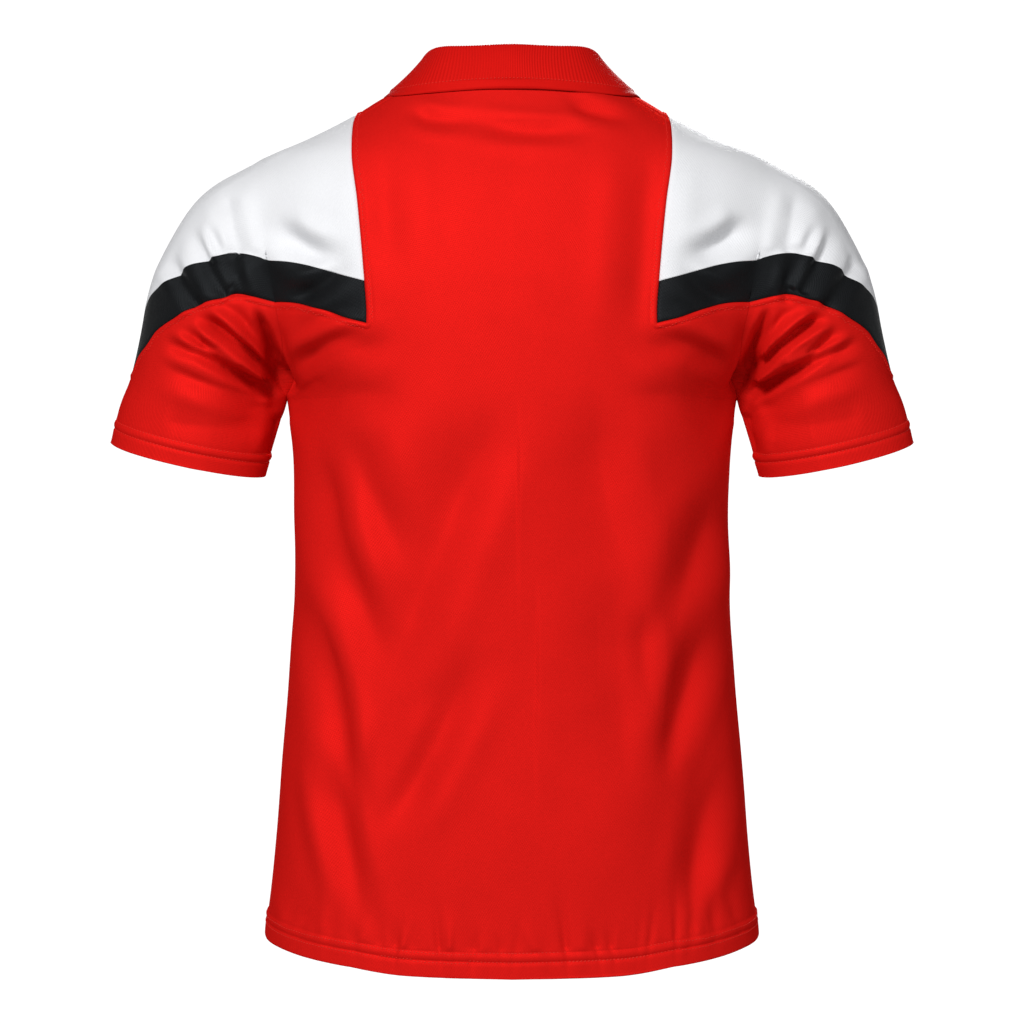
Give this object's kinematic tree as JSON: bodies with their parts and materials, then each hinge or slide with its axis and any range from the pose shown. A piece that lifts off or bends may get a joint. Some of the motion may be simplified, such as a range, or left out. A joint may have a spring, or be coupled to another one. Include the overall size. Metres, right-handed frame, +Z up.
{
  "type": "football jersey",
  "caption": "Short-sleeved football jersey with a fold-over ribbed collar, contrasting shoulder panels edged with a plain band, and an open V at the front of the neck.",
  "frame": {"origin": "on the centre line, at the height of the side of the neck, where the wearer's shoulders carry the jersey", "axes": "+Z up, -Y the wearer's front, +Y the wearer's back, +X the wearer's left"},
  "size_m": [0.668, 0.2649, 0.7568],
  "materials": {
    "red_knit": "soft sheen polyester interlock knit, red",
    "white_knit": "soft sheen polyester interlock knit, white",
    "black_knit": "soft sheen polyester interlock knit, black",
    "red_rib": "matt flat-knit rib, red"
  },
  "bodies": {
    "root": {"back": "red_knit", "front": "red_knit", "shoulder_left": "white_knit", "shoulder_right": "white_knit", "band_left": "black_knit", "band_right": "black_knit", "sleeve_left": "red_knit", "sleeve_right": "red_knit", "collar": "red_rib"}
  },
  "joints": []
}
